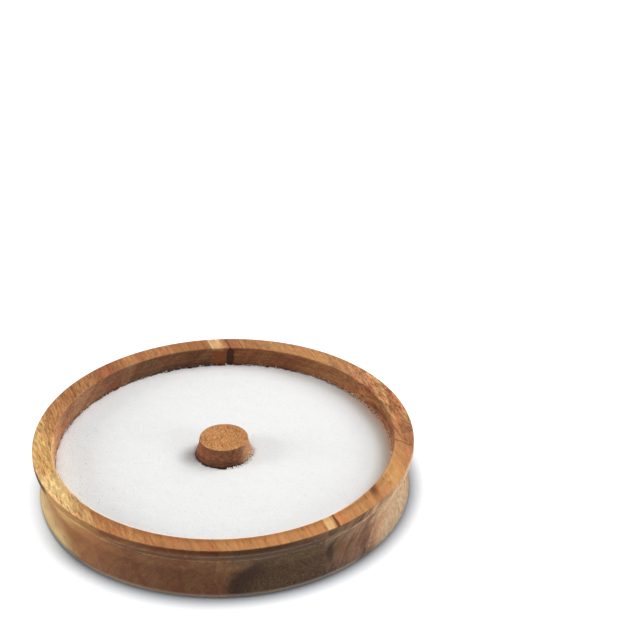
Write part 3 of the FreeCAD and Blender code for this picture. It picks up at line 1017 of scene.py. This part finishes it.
END_DEPTH = 0.9
USUAL = dict(
    coarse_depth=0.0, wander=3.0, band_depth=0.65, line_depth=0.28, fleck_depth=0.3, streak_depth=1.0,
    stroke_depth=0.6, stroke_size=1.0, stroke_rate=0.3, cast_depth=0.6, pore_share=0.2, pore_depth=0.5,
    end=(0.83, 1.06, 1.38, 1),
)
LOOKS = {
    "stave_left_edge": USUAL | dict(
        light=srgb(190, 137, 83), deep=srgb(171, 113, 66), line=srgb(146, 86, 46), fleck=srgb(150, 94, 46),
        pore=srgb(112, 70, 34), blush=srgb(160, 104, 70), figure=sapwood_figure, seed=3.1,
        pith=(-10.0, -40.0), ring=2.6, lean=0.05, coarse_depth=0.42, band_depth=0.8, line_depth=0.3,
        fleck_depth=0.4, stroke_depth=1.15, stroke_size=1.3, stroke_rate=0.13, pore_share=0.35,
        pore_depth=0.6, end=(0.95, 0.95, 0.95, 1), blush_depth=0.3,
    ),
    "stave_left": USUAL | dict(
        light=srgb(188, 130, 79), deep=srgb(157, 94, 53), line=srgb(116, 64, 34), fleck=srgb(130, 70, 36),
        pore=srgb(96, 54, 28), blush=srgb(157, 82, 51), figure=sapwood_tinge_figure, seed=8.4,
        pith=(20.0, -60.0), ring=2.2, wander=3.5, lean=0.04, coarse_depth=0.34, fleck_depth=0.35,
        stroke_depth=0.75, stroke_size=1.1, stroke_rate=0.2, blush_depth=0.55,
    ),
    "stave_centre": USUAL | dict(
        light=srgb(199, 141, 86), deep=srgb(168, 107, 60), line=srgb(124, 70, 38), fleck=srgb(136, 78, 40),
        pore=srgb(100, 58, 30), blush=srgb(168, 92, 54), figure=heart_patch_figure, seed=14.7,
        pith=(60.0, -40.0), ring=2.0, lean=-0.03, band_depth=0.62, cast_depth=0.5, blush_depth=0.5,
    ),
    "stave_right": USUAL | dict(
        light=srgb(200, 145, 91), deep=srgb(170, 109, 64), line=srgb(110, 66, 40), fleck=srgb(132, 78, 44),
        pore=srgb(94, 54, 30), blush=srgb(170, 101, 66), figure=right_stave_figure, seed=21.2,
        pith=(92.0, -22.0), ring=2.8, wander=4.0, lean=0.03, line_depth=0.3, pore_share=0.15,
        end=(0.98, 0.96, 0.94, 1), blush_depth=0.3,
    ),
    "stave_right_edge": USUAL | dict(
        light=srgb(202, 148, 97), deep=srgb(161, 98, 62), line=srgb(118, 68, 40), fleck=srgb(136, 78, 44),
        pore=srgb(96, 54, 30), blush=srgb(153, 88, 62), figure=right_edge_figure, seed=27.9,
        pith=(110.0, -30.0), ring=2.0, lean=0.10, coarse_depth=0.3, band_depth=0.8, fleck_depth=0.5,
        streak_depth=1.7, stroke_depth=0.95, stroke_size=1.3, cast_depth=1.0, pore_share=0.3,
        end=(0.80, 0.78, 0.80, 1), blush_depth=0.4,
    ),
}


# ------------------------------------------------------------------ glue and salt

def glue_material():
    """Cured wood glue in a joint: brown, with a little grain showing through."""
    material, nodes, shader = new_material("cured_wood_glue")
    at = use_group(nodes, GRAIN_SPACE)
    fibre = use_group(nodes, FIBRE, {"Place": at["Place"], "Seed": 40.0})
    nodes.feed(shader["Base Color"], nodes.mix(fibre["Streaks"], srgb(112, 70, 44), srgb(70, 44, 30)))
    nodes.feed(shader["Roughness"], nodes.scaled(fibre["Flecks"], 0.2, 0.45))
    return material


def make_salt_grains():
    """Dry salt in small cells, each a grain with its own tone and tilt, a little greyer between them.
    Painted shade and light lie on it by the walls and the knob: a cooler painted shade on the left and a
    greyer one at the front left, both by the wall; painted light, palest, by the wall at the back; brown
    painted shade by the wall on the right, with a warm painted reflection of the wood at its edge; and a
    grey painted shadow at the left of the knob. Whiteness lightens the lightest grains."""
    nodes, given = new_group("salt_grains", {"Roughness": 0.5, "Whiteness": 0.0})
    where = nodes.stretch(nodes.add("ShaderNodeTexCoord").outputs["Object"], PER_METRE)
    grains = nodes.add("ShaderNodeTexVoronoi", {"Vector": where, "Scale": 2.6}).outputs
    tone = nodes.xyz(grains["Color"])[0]
    gap = nodes.rise(grains["Distance"], 0.35, 0.8)
    x, y, _ = nodes.xyz(where)
    radius = nodes.length(x, y)
    from_shade = nodes.length(nodes.plus(x, 13.0), nodes.times(nodes.plus(y, 3.0), 0.8))
    # painted shade and light by the walls and the knob first, then the grains' gaps and the white grains
    tints = (
        (nodes.times((x, -28.0, -56.0), (radius, 52.0, 64.0)), (0.885, 0.925, 0.94, 1)),
        (nodes.times((radius, 58.0, 66.0), (x, 30.0, 0.0), (y, -20.0, 10.0)), (0.985, 0.98, 0.96, 1)),
        (nodes.times((radius, 63.0, 66.4), (x, -38.0, -52.0), (y, 0.0, -18.0)), (0.78, 0.76, 0.73, 1)),
        (nodes.times((radius, 58.0, 66.5), (x, 38.0, 58.0)), (0.65, 0.575, 0.48, 1)),
        (nodes.times((radius, 63.5, 66.3), (x, 44.0, 62.0)), (0.80, 0.54, 0.38, 1)),
        (nodes.rise(from_shade, 7.0, 1.0, 0.0, 0.8), (0.58, 0.54, 0.52, 1)),
        (nodes.times(gap, 0.2), (0.76, 0.76, 0.74, 1)),
        (nodes.times(tone, given["Whiteness"]), (0.99, 0.99, 0.98, 1)),
    )
    colour = nodes.mix(tone, (0.855, 0.86, 0.85, 1), (0.90, 0.905, 0.895, 1))
    for amount, tint in tints:
        colour = nodes.mix(amount, colour, tint)
    roughness = nodes.scaled(tone, 0.3, given["Roughness"])
    height = nodes.scaled(tone, 0.8, nodes.times(gap, -1.0))
    return put_out(nodes, {"Colour": colour, "Roughness": roughness, "Height": height})


SALT_GRAINS = make_salt_grains()


def salt_material(name, roughness, whiteness):
    """White salt that lets a little light through, its grains glinting by their own tilt."""
    material, nodes, shader = new_material(name)
    grains = use_group(nodes, SALT_GRAINS, {"Roughness": roughness, "Whiteness": whiteness})
    nodes.feed(shader["Base Color"], grains["Colour"])
    nodes.feed(shader["Roughness"], grains["Roughness"])
    bump = nodes.add("ShaderNodeBump", {"Strength": 0.15, "Distance": 0.08 * MM, "Height": grains["Height"]})
    nodes.feed(shader["Normal"], bump.outputs["Normal"])
    shader["Specular IOR Level"].default_value = 0.3
    shader["Subsurface Weight"].default_value = 0.8
    shader["Subsurface Radius"].default_value = (1.0, 1.0, 1.0)
    shader["Subsurface Scale"].default_value = 0.6 * MM
    return material


# ------------------------------------------------------------------ the pieces

dish_verts, dish_faces = turned(dish_outline(), TURNING_STEPS)
offsets = list(JOINTS.values())
lows = [None] + [offset + GLUE / 2 for offset in offsets]
highs = [offset - GLUE / 2 for offset in offsets] + [None]
staves = {
    node: slice_between(f"turned_{node}", dish_verts, dish_faces, low, high)
    for node, low, high in zip(STAVE_SLOTS, lows, highs)
}
films = {
    node: slice_between(f"cured_{node}", dish_verts, dish_faces, offset - GLUE / 2, offset + GLUE / 2)
    for node, offset in JOINTS.items()
}
for node, piece in (staves | films).items():
    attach(piece, "root")
    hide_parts(node)
    STAVE_SLOTS.get(node, "wood_glue")
for node, piece in staves.items():
    piece.data.materials.append(acacia(f"wood_of_{node}", LOOKS[node]))
glue = glue_material()
for piece in films.values():
    piece.data.materials.append(glue)

bed = salt_bed()
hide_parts("salt_bed")
bed.data.materials.append(salt_material("packed_salt", 0.5, 0.0))
loose, stuck = loose_crystals(), stuck_crystals()
crystal_salt = salt_material("crystal_salt", 0.2, 0.9)
for piece in (loose, stuck):
    piece.data.materials.append(crystal_salt)
for piece in (bed, loose, stuck):
    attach(piece, "root")

# ------------------------------------------------------------------ table top, light and camera

TABLE_HALF_WIDTH = 3000.0
CAMERA_TILT = math.radians(60.03)
CAMERA_ROLL = math.radians(-0.13)
SENSOR_WIDTH = 36.0
LENS = 101.61
# these three in metres
CAMERA_PLACE = (0.03808, -0.59451, 0.41774)
LIGHT_AIM = (0.0, 0.0, 0.015)
CONTACT_SHADOW = 0.012
# the world's strength as it lights the dish; where it is seen it is 1, which is white
SKY_STRENGTH = 0.46


def seen_directly(nodes):
    """1 where a ray comes straight from the camera, or by way of gloss or glass."""
    path = nodes.add("ShaderNodeLightPath").outputs
    seen_through = nodes.math("MAXIMUM", path["Is Glossy Ray"], path["Is Transmission Ray"])
    return nodes.math("MAXIMUM", path["Is Camera Ray"], seen_through)


def paper_material():
    """White paper: bright where it is seen, with a painted shadow close under the dish that darkens as more
    of the sky is hidden nearby, lighter on the left, and duller where it only throws light back up."""
    material, nodes, shader = new_material("white_paper")
    seen = seen_directly(nodes)
    nodes.feed(shader["Base Color"], nodes.mix(seen, (0.90, 0.89, 0.88, 1), (0.27, 0.29, 0.32, 1)))
    shader["Roughness"].default_value = 1.0
    shader["Specular IOR Level"].default_value = 0.0
    shader["Emission Color"].default_value = (1, 1, 1, 1)
    x, y, _ = nodes.xyz(nodes.add("ShaderNodeTexCoord").outputs["Object"])
    left_side = nodes.times((x, -0.045, -0.065), (y, -0.055, -0.015))
    darkest = nodes.scaled(left_side, -0.4, 0.66)
    nearby = nodes.add("ShaderNodeAmbientOcclusion", {"Distance": CONTACT_SHADOW}, samples=12).outputs["AO"]
    glow = nodes.add("ShaderNodeMapRange", {"Value": nearby, "From Min": darkest, "From Max": 1.0}).outputs[0]
    nodes.feed(shader["Emission Strength"], nodes.times(seen, glow))
    return material


def soft_light(name, place, size, watts):
    """A square soft box at a place, turned to face the dish."""
    lamp = bpy.data.lights.new(name, "AREA")
    lamp.size, lamp.energy = size, watts
    light = bpy.data.objects.new(name, lamp)
    facing = (Vector(place) - Vector(LIGHT_AIM)).to_track_quat("Z", "Y")
    light.matrix_world = Matrix.Translation(place) @ facing.to_matrix().to_4x4()
    bpy.context.scene.collection.objects.link(light)


half = TABLE_HALF_WIDTH
table_corners = [(-half, -half, 0), (half, -half, 0), (half, half, 0), (-half, half, 0)]
table_top = link_mesh("table_top", table_corners, [(0, 1, 2, 3)], smooth=False)
table_top.data.materials.append(paper_material())

camera = bpy.data.objects.new("camera", bpy.data.cameras.new("camera"))
camera.data.sensor_width = SENSOR_WIDTH
camera.data.lens = LENS
tilted = Matrix.Rotation(CAMERA_TILT, 4, "X") @ Matrix.Rotation(CAMERA_ROLL, 4, "Z")
camera.matrix_world = Matrix.Translation(CAMERA_PLACE) @ tilted
bpy.context.scene.collection.objects.link(camera)
bpy.context.scene.camera = camera

world = bpy.data.worlds.new("studio")
world.use_nodes = True
sky = Nodes(world.node_tree)
background = world.node_tree.nodes["Background"].inputs
background["Color"].default_value = (1, 1, 1, 1)
sky.feed(background["Strength"], sky.scaled(seen_directly(sky), 1 - SKY_STRENGTH, SKY_STRENGTH))
bpy.context.scene.world = world

soft_light("window_light", (0.62, 0.34, 0.62), 0.6, 5.2)
soft_light("left_strip", (-0.80, -0.10, 0.24), 0.4, 4.5)
soft_light("right_strip", (0.75, -0.38, 0.24), 0.4, 2.7)

bpy.context.scene.view_settings.view_transform = "Standard"
